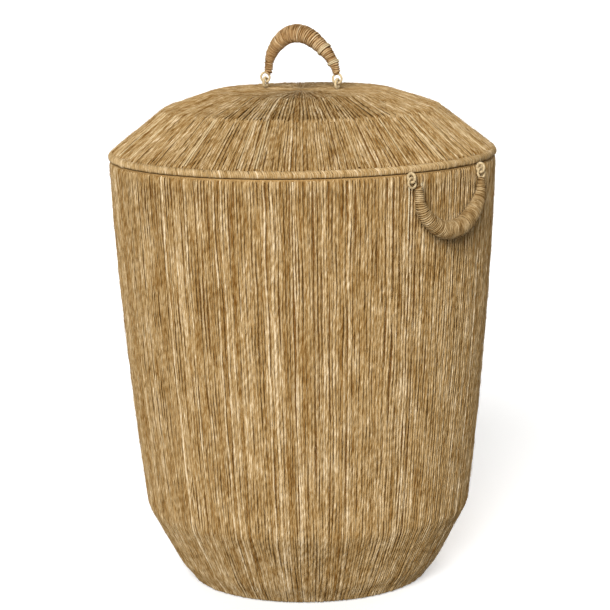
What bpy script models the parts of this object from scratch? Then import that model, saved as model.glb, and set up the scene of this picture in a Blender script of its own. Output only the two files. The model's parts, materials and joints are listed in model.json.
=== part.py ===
"""Round laundry basket with a lift-off lid, wound with jute yarn over a frame of steel wire.

Metres, +Z up. The origin is the centre of the underside, on the floor. The two side handles
hang at +X and -X. The lid is set down turned a little about Z.
"""
import math

import bmesh
import bpy
from mathutils import Matrix, Vector

# Driving dimensions -------------------------------------------------------------------------
SEGMENTS = 32                # facets round every turned piece
FRAME_RIBS = 8               # upright wires in the wall, and radial wires in the lid
WIRE_SIDES = 6               # facets round a wire
HANDLE_SIDES = 8             # facets round a handle
HANDLE_STEPS = 14            # lengths that a handle's bend is made of
FIT_GAP = 0.0003             # gap left between touching pieces

BODY_HEIGHT = 0.500          # floor to the top of the rim
BASE_RADIUS = 0.1375         # outer yarn surface at the floor
FOOT_RADIUS = 0.155          # where the rounded foot ends
FOOT_HEIGHT = 0.022
SHOULDER_RADIUS = 0.1905     # where the lower cone meets the tall wall
SHOULDER_HEIGHT = 0.089
TOP_RADIUS = 0.225           # outer yarn surface at the rim
WALL_BOW = 0.0042            # how far the tall wall bows out between shoulder and rim

YARN = 0.0028                # thickness of one layer of wound yarn
RIB_WIRE = 0.00175           # wire radii
HOOP_WIRE = 0.0020
RING_WIRE = 0.00225
RIM_INSET = 0.0005           # from TOP_RADIUS in to the yarn round the rim ring
HEM_WIDTH = 0.0075           # how far the outer winding turns in under the base ring
BASE_RING_RADIUS = 0.1345
BASE_INNER_RADIUS = 0.1300   # winding of the floor, inside the base ring
FRAME_START = 0.006          # height where the upright wires and the inner winding begin
UPPER_HOOP_HEIGHT = 0.440
WAIST_HOOP_HEIGHT = 0.295
FOOT_HOOP_HEIGHT = 0.024
WALL_SECTION = [0.18, 0.295, 0.39, 0.46]     # heights where the tall wall's outline bends
RIB_SECTION = [0.16, 0.26, 0.38]             # and where its upright wires do

LID_SEAT = BODY_HEIGHT + FIT_GAP     # the lid's lowest point, on the rim
LID_TURN = math.radians(20.0)        # how far the lid is turned against the side handles
LID_RIB_PHASE = math.radians(-13.5)  # first lid rib, from the lid handle's own axis
LID_RADIUS = 0.2255                  # outermost yarn of the lid's rim band
LID_YARN = 0.0025
LID_RING_WIRE = 0.00175
LID_RIB_WIRE = 0.0015
# Lid top surface as (radius, height above the lid's seat): centre, crown, inner ring, mid ring.
LID_CENTRE = (0.0, 0.0762)
LID_CROWN = (0.050, 0.0772)
LID_INNER_RING = (0.104, 0.0757)
LID_MID_RING = (0.161, 0.0567)
HUB_RADIUS = 0.016           # plate that the lid's ribs meet on
HUB_THICKNESS = 0.0025
LID_RIB_START = 0.012        # radius where the lid's ribs begin, on the hub plate
LID_RIB_STAND_OFF = 0.0028   # from the rim ring's centre back to the end of a rib
LID_UNDER_SHARE = 0.86       # share of the lid's slope that the winding under it covers
LOCATING_BAND = (0.2038, 0.2078, -0.0078, 0.0043)   # radii and heights of the band under the lid

LOOP_RADIUS = 0.0050         # cord loops on the lid and the wall: centre of the cord
LOOP_CORD = 0.0016
EYE_RADIUS = 0.0055          # cord eyes on the ends of the handles
EYE_CORD = 0.0013
HANDLE_CORE = 0.0032
HANDLE_END = 0.0049          # outer radius of a wrapped handle at its ends
HANDLE_MIDDLE = 0.0108       # and at its middle
TIE_THICKNESS = 0.0012
TIE_WIDTH = 0.0040

LID_LOOP_SPAN = 0.046        # lid loops, from the middle
LID_AXIS_HEIGHT = LID_CROWN[1] + FIT_GAP + LOOP_RADIUS + LOOP_CORD
# Lid handle centre line, as (along the hinge axis, above it).
LID_HANDLE_LINE = [(-0.0415, 0.0130), (-0.0402, 0.0250), (-0.0350, 0.0370), (-0.0262, 0.0475),
                   (-0.0160, 0.0545), (-0.0035, 0.0570), (0.0095, 0.0540), (0.0225, 0.0455),
                   (0.0345, 0.0340), (0.0425, 0.0215), (0.0450, 0.0130)]
TIE_PLACES = [0.76, 0.88]    # share of the lid handle's length
TIE_EASE = 0.03              # the ties fit the handle this much nearer its middle, where it is fatter

SIDE_LOOP_SPAN = 0.0570      # wall loops, from the handle's middle
SIDE_AXIS_RADIUS = 0.2244
SIDE_AXIS_HEIGHT = 0.4965
SIDE_REST_TILT = math.radians(8.5)   # the hanging handle leans out against the wall
# Side handle centre line, as (along the hinge axis, below it).
SIDE_HANDLE_LINE = [(-0.0470, 0.0135), (-0.0475, 0.0240), (-0.0465, 0.0345), (-0.0400, 0.0455),
                    (-0.0225, 0.0588), (-0.0055, 0.0625), (0.0150, 0.0598), (0.0320, 0.0495),
                    (0.0440, 0.0390), (0.0510, 0.0290), (0.0545, 0.0200), (0.0552, 0.0135)]

# Values that follow from them ---------------------------------------------------------------
RIM_WIND = RING_WIRE + FIT_GAP + YARN                 # radius of the yarn round the rim ring
RIM_CENTRE = (TOP_RADIUS - RIM_INSET - RIM_WIND, BODY_HEIGHT - RIM_WIND)
RIB_DEPTH = YARN + FIT_GAP + RIB_WIRE                 # wire centres below the outer surface
HOOP_DEPTH = YARN + FIT_GAP + 2 * RIB_WIRE + FIT_GAP + HOOP_WIRE
INNER_DEPTH = HOOP_DEPTH + HOOP_WIRE + FIT_GAP        # outer face of the inner winding
BASE_RING_CENTRE = (BASE_RING_RADIUS, YARN + FIT_GAP + RING_WIRE)
CROSS_LEVELS = (YARN + FIT_GAP + HOOP_WIRE, YARN + 2 * FIT_GAP + 3 * HOOP_WIRE)
BASE_INNER_LEVEL = YARN + 3 * FIT_GAP + 4 * HOOP_WIRE
WALL_LEVELS = [FOOT_HEIGHT, SHOULDER_HEIGHT] + WALL_SECTION
LID_WIND = LID_RING_WIRE + FIT_GAP + LID_YARN
LID_RIM_CENTRE = (LID_RADIUS - LID_WIND, LID_WIND)
LID_RIB_DEPTH = LID_YARN + FIT_GAP + LID_RIB_WIRE
LID_HOOP_DEPTH = LID_YARN + FIT_GAP + 2 * LID_RIB_WIRE + FIT_GAP + LID_RING_WIRE
LID_UNDER_DEPTH = LID_HOOP_DEPTH + LID_RING_WIRE + FIT_GAP

# Finishes: colour, roughness, metallic value.
JUTE = ((0.40, 0.255, 0.11), 0.9, 0.0)
JUTE_DARK = ((0.30, 0.18, 0.07), 0.9, 0.0)
PALE_CORD = ((0.66, 0.56, 0.38), 0.8, 0.0)
ROPE = ((0.34, 0.22, 0.10), 0.9, 0.0)
STEEL = ((0.10, 0.10, 0.10), 0.45, 0.9)


# Scene helpers ------------------------------------------------------------------------------
def clear_scene():
    for item in list(bpy.data.objects):
        bpy.data.objects.remove(item, do_unlink=True)


def make_material(name, colour, roughness, metallic):
    material = bpy.data.materials.new(name)
    material.use_nodes = True
    shader = material.node_tree.nodes["Principled BSDF"]
    shader.inputs["Base Color"].default_value = (*colour, 1.0)
    shader.inputs["Roughness"].default_value = roughness
    shader.inputs["Metallic"].default_value = metallic
    return material


def make_empty(name, location, parent=None, turn=0.0):
    empty = bpy.data.objects.new(name, None)
    empty.location = location
    empty.rotation_euler = (0.0, 0.0, turn)
    empty.parent = parent
    bpy.context.collection.objects.link(empty)
    return empty


def make_object(name, mesh, finish, parent=None, location=(0, 0, 0), rotation=(0, 0, 0)):
    """Link a mesh as a named object, shade it smooth and give it its own material."""
    mesh.shade_smooth()
    mesh.set_sharp_from_angle(angle=math.radians(50.0))
    piece = bpy.data.objects.new(name, mesh)
    piece.location = location
    piece.rotation_euler = rotation
    piece.parent = parent
    mesh.materials.append(make_material(name, *finish))
    bpy.context.collection.objects.link(piece)
    return piece


def close_mesh(name, shape):
    """Turn a bmesh into a mesh whose faces all point outwards."""
    bmesh.ops.recalc_face_normals(shape, faces=shape.faces)
    mesh = bpy.data.meshes.new(name)
    shape.to_mesh(mesh)
    shape.free()
    return mesh


# Shapes -------------------------------------------------------------------------------------
def turned(name, outline, phase=0.0):
    """Turn an outline of (radius, height) about Z.

    The outline closes on itself, or starts and ends on the axis.
    """
    shape = bmesh.new()
    columns = []
    for radius, height in outline:
        if radius == 0.0:
            columns.append([shape.verts.new((0.0, 0.0, height))])
            continue
        ring = []
        for step in range(SEGMENTS):
            angle = phase + 2 * math.pi * step / SEGMENTS
            ring.append(shape.verts.new((radius * math.cos(angle), radius * math.sin(angle), height)))
        columns.append(ring)
    pairs = list(zip(columns, columns[1:]))
    if outline[0][0] > 0.0:
        pairs.append((columns[-1], columns[0]))
    for first, second in pairs:
        for step in range(SEGMENTS):
            after = (step + 1) % SEGMENTS
            corners = [first[step % len(first)], second[step % len(second)],
                       second[after % len(second)], first[after % len(first)]]
            shape.faces.new(list(dict.fromkeys(corners)))
    return close_mesh(name, shape)


def circle(centre, radius, sides):
    points = []
    for step in range(sides):
        angle = 2 * math.pi * step / sides
        points.append((centre[0] + radius * math.cos(angle), centre[1] + radius * math.sin(angle)))
    return points


def arc(centre, radius, first, last, steps):
    """Points on an arc in the (radius, height) plane, from first to last degrees."""
    points = []
    for step in range(steps + 1):
        angle = math.radians(first + (last - first) * step / steps)
        points.append((centre[0] + radius * math.cos(angle), centre[1] + radius * math.sin(angle)))
    return points


def smooth_line(points, count):
    """Evenly parameterised points on a Catmull-Rom curve through the given ones."""
    guides = [points[0] * 2 - points[1]] + list(points) + [points[-1] * 2 - points[-2]]
    spans = len(points) - 1
    line = []
    for step in range(count + 1):
        place = spans * step / count
        span = min(int(place), spans - 1)
        t = place - span
        a, b, c, d = guides[span:span + 4]
        line.append(0.5 * (2 * b + (c - a) * t + (2 * a - 5 * b + 4 * c - d) * t * t
                           + (3 * b - a - 3 * c + d) * t ** 3))
    return line


def frames_along(line, across):
    """A side and an upward direction at each point of a flat line whose normal is `across`."""
    frames = []
    for place, point in enumerate(line):
        ahead = line[min(place + 1, len(line) - 1)]
        behind = line[max(place - 1, 0)]
        tangent = (ahead - behind).normalized()
        frames.append((across, tangent.cross(across)))
    return frames


def ring_round(shape, centre, frame, radius, sides):
    side, up = frame
    ring = []
    for step in range(sides):
        angle = 2 * math.pi * step / sides
        ring.append(shape.verts.new(centre + radius * (side * math.cos(angle) + up * math.sin(angle))))
    return ring


def join_rings(shape, first, second):
    count = len(first)
    for step in range(count):
        after = (step + 1) % count
        shape.faces.new((first[step], first[after], second[after], second[step]))


def rod(name, line, radius, sides, across):
    """A solid round rod along a flat line."""
    shape = bmesh.new()
    rings = [ring_round(shape, point, frame, radius, sides)
             for point, frame in zip(line, frames_along(line, across))]
    for first, second in zip(rings, rings[1:]):
        join_rings(shape, first, second)
    shape.faces.new(rings[0])
    shape.faces.new(rings[-1])
    return close_mesh(name, shape)


def sleeve(name, line, outer, inner, sides, across):
    """A tube along a flat line, open at both ends, with its outer radius given point by point."""
    shape = bmesh.new()
    frames = frames_along(line, across)
    outside = [ring_round(shape, point, frame, radius, sides)
               for point, frame, radius in zip(line, frames, outer)]
    inside = [ring_round(shape, point, frame, inner, sides) for point, frame in zip(line, frames)]
    skin = outside + inside[::-1]
    for first, second in zip(skin, skin[1:] + skin[:1]):
        join_rings(shape, first, second)
    return close_mesh(name, shape)


def cord_ring(name, radius, cord, sides=12, cord_sides=6):
    """A ring of cord about the local Z axis."""
    shape = bmesh.new()
    rings = []
    for step in range(sides):
        angle = 2 * math.pi * step / sides
        outwards = Vector((math.cos(angle), math.sin(angle), 0.0))
        rings.append(ring_round(shape, outwards * radius, (outwards, Vector((0, 0, 1))), cord, cord_sides))
    for first, second in zip(rings, rings[1:] + rings[:1]):
        join_rings(shape, first, second)
    return close_mesh(name, shape)


# Wall profile -------------------------------------------------------------------------------
def wall_radius(height):
    """Radius of the wall's outer yarn surface at a height above the floor."""
    if height <= FOOT_HEIGHT:
        return BASE_RADIUS + (FOOT_RADIUS - BASE_RADIUS) * height / FOOT_HEIGHT
    if height <= SHOULDER_HEIGHT:
        share = (height - FOOT_HEIGHT) / (SHOULDER_HEIGHT - FOOT_HEIGHT)
        return FOOT_RADIUS + (SHOULDER_RADIUS - FOOT_RADIUS) * share
    share = (height - SHOULDER_HEIGHT) / (BODY_HEIGHT - SHOULDER_HEIGHT)
    return SHOULDER_RADIUS + (TOP_RADIUS - SHOULDER_RADIUS) * share + 4 * WALL_BOW * share * (1 - share)


def wall_point(height, depth):
    """The point `depth` below the outer surface, measured square to it."""
    reach = 0.002
    low = max(height - reach, 0.0)
    slope = (wall_radius(height + reach) - wall_radius(low)) / (height + reach - low)
    length = math.hypot(1.0, slope)
    return (wall_radius(height) - depth / length, height + depth * slope / length)


def lid_point(start, end, share, depth):
    """A point on the straight between two lid corners, `depth` below the surface."""
    dr = end[0] - start[0]
    dz = end[1] - start[1]
    length = math.hypot(dr, dz)
    radius = start[0] + dr * share + depth * dz / length
    height = start[1] + dz * share - depth * dr / length
    return (radius, height)


def lid_corner(before, corner, after, depth):
    """A lid corner moved `depth` below both straights that meet in it."""
    angle_in = math.atan2(corner[1] - before[1], corner[0] - before[0])
    angle_out = math.atan2(after[1] - corner[1], after[0] - corner[0])
    middle = (angle_in + angle_out) / 2
    reach = depth / math.cos((angle_out - angle_in) / 2)
    return (corner[0] + reach * math.sin(middle), corner[1] - reach * math.cos(middle))


def lid_tangent():
    """Where the straight from the mid ring touches the rim band, and that straight's angle."""
    dr = LID_RIM_CENTRE[0] - LID_MID_RING[0]
    dz = LID_RIM_CENTRE[1] - LID_MID_RING[1]
    angle = math.atan2(dz, dr) + math.asin(LID_WIND / math.hypot(dr, dz))
    touch = (LID_RIM_CENTRE[0] - LID_WIND * math.sin(angle), LID_RIM_CENTRE[1] + LID_WIND * math.cos(angle))
    return touch, angle


def lid_line(depth, end_share=1.0):
    """The lid's section from near the axis to the rim band, at one depth."""
    touch = lid_tangent()[0]
    return [(0.0, LID_CENTRE[1] - depth), (LID_CROWN[0], LID_CROWN[1] - depth),
            lid_corner(LID_CROWN, LID_INNER_RING, LID_MID_RING, depth),
            lid_corner(LID_INNER_RING, LID_MID_RING, touch, depth),
            lid_point(LID_MID_RING, touch, end_share, depth)]


# Basket -------------------------------------------------------------------------------------
def add_hoop(name, centre, wire, parent=None, phase=0.0):
    outline = circle(centre, wire, WIRE_SIDES)
    return make_object(name, turned(name, outline, phase), STEEL, parent)


def add_wire_frame():
    add_hoop("rim_ring", RIM_CENTRE, RING_WIRE)
    for name, height in (("upper_hoop", UPPER_HOOP_HEIGHT), ("waist_hoop", WAIST_HOOP_HEIGHT),
                         ("shoulder_hoop", SHOULDER_HEIGHT), ("foot_hoop", FOOT_HOOP_HEIGHT)):
        add_hoop(name, wall_point(height, HOOP_DEPTH), HOOP_WIRE)
    add_hoop("base_ring", BASE_RING_CENTRE, RING_WIRE)
    top = RIM_CENTRE[1] - RING_WIRE - FIT_GAP
    heights = [FRAME_START, FOOT_HEIGHT, SHOULDER_HEIGHT] + RIB_SECTION + [top]
    line = [Vector((radius, 0.0, height))
            for radius, height in (wall_point(height, RIB_DEPTH) for height in heights)]
    for number in range(FRAME_RIBS):
        name = f"wall_rib_{number + 1}"
        turn = 2 * math.pi * number / FRAME_RIBS
        mesh = rod(name, line, RIB_WIRE, WIRE_SIDES, Vector((0, 1, 0)))
        make_object(name, mesh, STEEL, rotation=(0, 0, turn))
    reach = BASE_RING_CENTRE[0] - RING_WIRE - 2 * FIT_GAP
    for name, level, turn in (("base_cross_wire_lower", CROSS_LEVELS[0], 0.0),
                              ("base_cross_wire_upper", CROSS_LEVELS[1], math.pi / 2)):
        straight = [Vector((-reach, 0, 0)), Vector((reach, 0, 0))]
        mesh = rod(name, straight, HOOP_WIRE, WIRE_SIDES, Vector((0, 1, 0)))
        make_object(name, mesh, STEEL, location=(0, 0, level), rotation=(0, 0, turn))


def add_wall_windings():
    """The yarn outside the frame, over the rim and under the base ring, and the yarn inside it."""
    outside = [(BASE_RADIUS - HEM_WIDTH, 0.0), (BASE_RADIUS, 0.0)]
    outside += [(wall_radius(height), height) for height in WALL_LEVELS]
    outside += arc(RIM_CENTRE, RIM_WIND, 0, 180, 5)
    back = arc(RIM_CENTRE, RIM_WIND - YARN, 180, 0, 4)
    back += [wall_point(height, YARN) for height in reversed(WALL_LEVELS)]
    foot_slope = (FOOT_RADIUS - BASE_RADIUS) / FOOT_HEIGHT
    hem_top = BASE_RADIUS + YARN * foot_slope - YARN * math.hypot(1.0, foot_slope)
    back += [(hem_top, YARN), (BASE_RADIUS - HEM_WIDTH, YARN)]
    make_object("wall_weave_outer", turned("wall_weave_outer", outside + back), JUTE)

    levels = [FRAME_START] + WALL_LEVELS + [RIM_CENTRE[1] - 2 * FIT_GAP]
    outline = [wall_point(height, INNER_DEPTH) for height in levels]
    outline += [wall_point(height, INNER_DEPTH + YARN) for height in reversed(levels)]
    make_object("wall_weave_inner", turned("wall_weave_inner", outline), JUTE_DARK)


def add_base_panels():
    """Flat discs of wound yarn: one the basket stands on, one inside it."""
    for name, radius, level, finish in (
            ("base_weave_outer", BASE_RADIUS - HEM_WIDTH - FIT_GAP, 0.0, JUTE),
            ("base_weave_inner", BASE_INNER_RADIUS, BASE_INNER_LEVEL, JUTE_DARK)):
        outline = [(0.0, 0.0), (radius, 0.0), (radius, YARN), (0.0, YARN)]
        make_object(name, turned(name, outline), finish, location=(0, 0, level))


def add_wall_loops():
    """Cord loops that stand out of the wall under the rim and carry the side handles."""
    for side, out in (("right", 1), ("left", -1)):
        for end, along in (("a", 1), ("b", -1)):
            name = f"wall_loop_{side}_{end}"
            place = (out * SIDE_AXIS_RADIUS, along * SIDE_LOOP_SPAN, SIDE_AXIS_HEIGHT)
            mesh = cord_ring(name, LOOP_RADIUS, LOOP_CORD)
            make_object(name, mesh, PALE_CORD, location=place, rotation=(math.pi / 2, 0, 0))


# Lid ----------------------------------------------------------------------------------------
def add_lid_frame(lid):
    add_hoop("lid_rim_ring", LID_RIM_CENTRE, LID_RING_WIRE, lid, LID_RIB_PHASE)
    section = lid_line(LID_HOOP_DEPTH)
    add_hoop("lid_mid_ring", section[3], LID_RING_WIRE, lid, LID_RIB_PHASE)
    add_hoop("lid_inner_ring", section[2], LID_RING_WIRE, lid, LID_RIB_PHASE)
    hub_outline = [(0.0, 0.0), (HUB_RADIUS, 0.0), (HUB_RADIUS, HUB_THICKNESS), (0.0, HUB_THICKNESS)]
    hub_level = LID_CENTRE[1] - LID_HOOP_DEPTH - LID_RING_WIRE + 2 * FIT_GAP
    make_object("lid_hub_plate", turned("lid_hub_plate", hub_outline, LID_RIB_PHASE), STEEL,
                lid, location=(0, 0, hub_level))
    section = lid_line(LID_RIB_DEPTH)
    slope = lid_tangent()[1]
    drop = LID_RIB_DEPTH - LID_WIND
    end = (LID_RIM_CENTRE[0] - LID_RIB_STAND_OFF * math.cos(slope) + drop * math.sin(slope),
           LID_RIM_CENTRE[1] - LID_RIB_STAND_OFF * math.sin(slope) - drop * math.cos(slope))
    start = (LID_RIB_START, LID_CENTRE[1] - LID_RIB_DEPTH)
    line = [Vector((radius, 0.0, height)) for radius, height in [start] + section[1:4] + [end]]
    for number in range(FRAME_RIBS):
        name = f"lid_rib_{number + 1}"
        turn = LID_RIB_PHASE + 2 * math.pi * number / FRAME_RIBS
        mesh = rod(name, line, LID_RIB_WIRE, WIRE_SIDES, Vector((0, 1, 0)))
        make_object(name, mesh, STEEL, lid, rotation=(0, 0, turn))


def add_lid_windings(lid):
    """The yarn over the lid and round its rim, and the yarn under it."""
    start = 90.0 + math.degrees(lid_tangent()[1])
    top = lid_line(0.0)[:-1]
    outline = top + arc(LID_RIM_CENTRE, LID_WIND, start, -180.0, 6)
    outline += arc(LID_RIM_CENTRE, LID_WIND - LID_YARN, -180.0, start, 5)
    outline += lid_line(LID_YARN)[-2::-1]
    make_object("lid_weave_top", turned("lid_weave_top", outline, LID_RIB_PHASE), JUTE, lid)

    outline = lid_line(LID_UNDER_DEPTH, LID_UNDER_SHARE)
    outline += lid_line(LID_UNDER_DEPTH + LID_YARN, LID_UNDER_SHARE)[::-1]
    mesh = turned("lid_weave_under", outline, LID_RIB_PHASE)
    make_object("lid_weave_under", mesh, JUTE_DARK, lid)

    inner, outer, low, high = LOCATING_BAND
    outline = [(inner, low), (outer, low), (outer, high), (inner, high)]
    mesh = turned("lid_locating_band", outline, LID_RIB_PHASE)
    make_object("lid_locating_band", mesh, JUTE_DARK, lid)


def add_lid_loops(lid):
    for end, along in (("a", 1), ("b", -1)):
        name = f"lid_loop_{end}"
        mesh = cord_ring(name, LOOP_RADIUS, LOOP_CORD)
        make_object(name, mesh, PALE_CORD, lid, (along * LID_LOOP_SPAN, 0, LID_AXIS_HEIGHT),
                    (0, math.pi / 2, 0))


# Handles ------------------------------------------------------------------------------------
def handle_radius(share):
    """Outer radius of a wrapped handle along its length, thin at the ends and fat in the middle."""
    return HANDLE_END + (HANDLE_MIDDLE - HANDLE_END) * math.sin(math.pi * share) ** 1.6


def add_handle(name, axis, line, span, eyes_up):
    """A rope core with its yarn wrap and a cord eye at each end.

    The line is (along X, height) from the hinge axis, which is the empty's local X axis.
    """
    across = Vector((0, 1, 0))
    points = smooth_line([Vector((along, 0.0, height)) for along, height in line], HANDLE_STEPS)
    radii = [handle_radius(step / HANDLE_STEPS) for step in range(HANDLE_STEPS + 1)]
    core = rod(f"{name}_core", points, HANDLE_CORE, HANDLE_SIDES, across)
    make_object(f"{name}_core", core, ROPE, axis)
    wrap = sleeve(f"{name}_wrap", points, radii, HANDLE_CORE + FIT_GAP, HANDLE_SIDES, across)
    make_object(f"{name}_wrap", wrap, JUTE, axis)
    for end, along in (("a", 1), ("b", -1)):
        eye = f"{name}_eye_{end}"
        place = (along * span, 0, eyes_up * EYE_RADIUS)
        make_object(eye, cord_ring(eye, EYE_RADIUS, EYE_CORD), PALE_CORD, axis, place,
                    (math.pi / 2, 0, 0))


def add_lid_handle(lid):
    axis = make_empty("lid_handle_axis", (0, 0, LID_AXIS_HEIGHT), lid)
    add_handle("lid_handle", axis, LID_HANDLE_LINE, LID_LOOP_SPAN, 1)
    guides = [Vector((along, 0.0, height)) for along, height in LID_HANDLE_LINE]
    count = 100
    fine = smooth_line(guides, count)
    for number, share in enumerate(TIE_PLACES):
        name = f"lid_handle_tie_{number + 1}"
        place = round(share * count)
        middle = fine[place]
        tangent = (fine[place + 1] - fine[place - 1]).normalized()
        line = [middle + tangent * offset * TIE_WIDTH for offset in (-0.5, 0.5)]
        inside = handle_radius(share - TIE_EASE) + 2 * FIT_GAP
        mesh = sleeve(name, line, [inside + TIE_THICKNESS] * 2, inside, HANDLE_SIDES, Vector((0, 1, 0)))
        make_object(name, mesh, PALE_CORD, axis)


def add_side_handles():
    """Both side handles are the same piece, one turned half way round the basket."""
    for side, turn in (("right", 0.0), ("left", math.pi)):
        place = Matrix.Rotation(turn, 3, "Z") @ Vector((SIDE_AXIS_RADIUS, 0, SIDE_AXIS_HEIGHT))
        axis = make_empty(f"side_handle_{side}_axis", place)
        axis.rotation_euler = (-SIDE_REST_TILT, 0, math.pi / 2 + turn)
        line = [(along, -below) for along, below in SIDE_HANDLE_LINE]
        add_handle(f"side_handle_{side}", axis, line, SIDE_LOOP_SPAN, -1)


def build():
    clear_scene()
    add_wire_frame()
    add_wall_windings()
    add_base_panels()
    add_wall_loops()
    lid = make_empty("lid_seat", (0, 0, LID_SEAT), turn=LID_TURN)
    add_lid_frame(lid)
    add_lid_windings(lid)
    add_lid_loops(lid)
    add_lid_handle(lid)
    add_side_handles()


build()
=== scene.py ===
"""Looks of the jute laundry basket: every yarn of the winding, the wrapped handles and the cords.

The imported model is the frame. Its soft solids are replaced by yarn that lies in the same space.
Metres, +Z up, origin under the middle of the basket.
"""
import json
import math

import bpy
import numpy as np
from mathutils import Matrix, Vector


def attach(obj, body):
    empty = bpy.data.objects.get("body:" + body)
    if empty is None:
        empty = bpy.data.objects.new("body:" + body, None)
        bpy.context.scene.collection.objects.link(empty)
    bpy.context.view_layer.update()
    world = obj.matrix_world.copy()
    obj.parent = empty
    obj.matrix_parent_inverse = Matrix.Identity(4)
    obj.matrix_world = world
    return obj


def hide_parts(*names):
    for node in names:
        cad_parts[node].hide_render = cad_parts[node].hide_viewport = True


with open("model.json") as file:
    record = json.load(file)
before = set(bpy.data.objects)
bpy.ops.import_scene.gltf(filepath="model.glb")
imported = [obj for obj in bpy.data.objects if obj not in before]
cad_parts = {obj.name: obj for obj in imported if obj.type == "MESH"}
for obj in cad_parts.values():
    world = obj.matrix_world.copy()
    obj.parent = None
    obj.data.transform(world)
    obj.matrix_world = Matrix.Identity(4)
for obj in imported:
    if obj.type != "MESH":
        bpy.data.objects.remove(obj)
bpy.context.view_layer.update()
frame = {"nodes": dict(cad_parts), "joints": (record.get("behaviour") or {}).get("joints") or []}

TAU = 2 * math.pi

# Sizes, as in the frame ---------------------------------------------------------------------
BASE_RADIUS = 0.1375
FOOT_RADIUS, FOOT_HEIGHT = 0.155, 0.022
SHOULDER_RADIUS, SHOULDER_HEIGHT = 0.1905, 0.089
TOP_RADIUS, BODY_HEIGHT = 0.225, 0.500
WALL_BOW = 0.0042
LAYER = 0.0028                       # one layer of wound yarn
RIM_WIND = 0.00535                   # yarn round the rim ring
RIM_CENTRE = (0.21915, 0.49465)
INNER_DEPTH = 0.0112                 # outer face of the inner winding, below the wall's surface
BASE_INNER_LEVEL = 0.0117
LID_SEAT = 0.5003
LID_WIND = 0.00455
LID_RIM_CENTRE = (0.22095, 0.00455)  # lid heights are measured from its seat
LID_OUTLINE = [(0.0, 0.0762), (0.050, 0.0772), (0.104, 0.0757), (0.161, 0.0567)]
LID_UNDER_DEPTH = 0.0099
RIB_COUNT = 8
RIB_PHASE = math.radians(-13.5)
HANDLE_END, HANDLE_MIDDLE = 0.0049, 0.0108
EYE_RADIUS, LOOP_RADIUS = 0.0055, 0.0050

JOINT = {joint["name"]: joint for joint in frame["joints"]}
LID_TURN = math.atan2(JOINT["lid_handle_tilt"]["axis"][1], JOINT["lid_handle_tilt"]["axis"][0])
LID_AXIS = Vector(JOINT["lid_handle_tilt"]["pos_m"])
SIDE_AXIS = Vector(JOINT["side_handle_right_swing"]["pos_m"])
SIDE_REST_TILT = math.radians(8.5)
LID_LOOP_SPAN = 0.046
SIDE_LOOP_SPAN = 0.057

LID_HANDLE_LINE = [(-0.0415, 0.0130), (-0.0402, 0.0250), (-0.0350, 0.0370), (-0.0262, 0.0475),
                   (-0.0160, 0.0545), (-0.0035, 0.0570), (0.0095, 0.0540), (0.0225, 0.0455),
                   (0.0345, 0.0340), (0.0425, 0.0215), (0.0450, 0.0130)]
SIDE_HANDLE_LINE = [(-0.0470, -0.0135), (-0.0475, -0.0240), (-0.0465, -0.0345), (-0.0400, -0.0455),
                    (-0.0225, -0.0588), (-0.0055, -0.0625), (0.0150, -0.0598), (0.0320, -0.0495),
                    (0.0440, -0.0390), (0.0510, -0.0290), (0.0545, -0.0200), (0.0552, -0.0135)]
LID_TIE_PLACES = (0.76, 0.88)        # share of the lid handle's length

# The yarn -----------------------------------------------------------------------------------
YARN_RADIUS = 0.00140
YARN_FLAT = 0.64                     # height of a wound strand over its width
LID_FLAT = 0.8
THINNEST_YARN = 0.00035              # where strands crowd together near a centre
YARN_PITCH = 0.022                   # one turn of the twist
YARN_PLIES = 2
YARN_GLOSS = 0.07
SECTORS = 8                          # a ring of yarn is split into this many pieces
WALL_STRANDS = 336                   # in each of the two layers of the wall
INNER_STRANDS = 504
BASE_STRANDS = 300
BAND_TURNS = 560
LID_UNDER_STRANDS = 380
WALL_LAYERS = (                      # depth of the centre line, share of a step turned, mean tone; the deeper layer's lower tone is painted shade
    (YARN_RADIUS * YARN_FLAT, 0.0, 0.54),
    (0.0019, 0.5, 0.45))
LID_LAYERS = (                       # name, strands, inner and outer radius, then as above, and width; the low layers' lower tones are painted shade
    ("lid_yarn_cone", 300, 0.1575, 0.2230, 0.0012, 0.0, 0.51, 0.60),
    ("lid_yarn_cone_low", 300, 0.1575, 0.2230, 0.0023, 0.5, 0.43, 0.60),
    ("lid_yarn_crown", 250, 0.0012, 0.1640, 0.0004, 0.0, 0.51, 0.42),
    ("lid_yarn_crown_low", 250, 0.0300, 0.1635, 0.0021, 0.5, 0.26, 0.55))
WALL_RIM_PADDING = [(0.2172, 0.4962), (0.2226, 0.4962), (0.2230, 0.4984),
                    (0.2230, 0.4993), (0.2224, 0.4997), (0.2172, 0.4997)]
LID_RIM_PADDING = [(0.2172, 0.0003), (0.2232, 0.0003), (0.2242, 0.0012), (0.2244, 0.0050),
                   (0.2172, 0.0060)]
LOCATING_CENTRE = (0.2058, -0.00175)
WRAP_PITCH, WRAP_YARN = 0.0021, 0.00095
TURN_STEPS = 20                      # points in one turn of a handle's wrap
WRAP_END = 0.0040                    # radius of the wrap where it meets its cord eyes
CORD_PLIES, CORD_TURNS = 3, 7
LOOP_CORD, EYE_CORD = 0.0016, 0.0013
THIN_CORD = 0.00085
FUZZ_RADIUS = 0.00011

# Patterns in the yarn's shade ---------------------------------------------------------------
STRAND_SHIFT = 731.0                 # sets the pattern of each strand apart
FIBRE_SLANT = 9.0                    # turns of a fibre round its strand in a metre
PATCH_SCALE = (62.0, 62.0, 20.0)     # patches that neighbouring strands share
# The ply weight lightens the crest of each ply and darkens the groove between plies: painted highlight and
# painted shade.
MOTTLE_WEIGHT, FIBRE_WEIGHT, PATCH_WEIGHT, PLY_SHADE_WEIGHT = 0.50, 2.2, 0.8, 0.05

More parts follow.
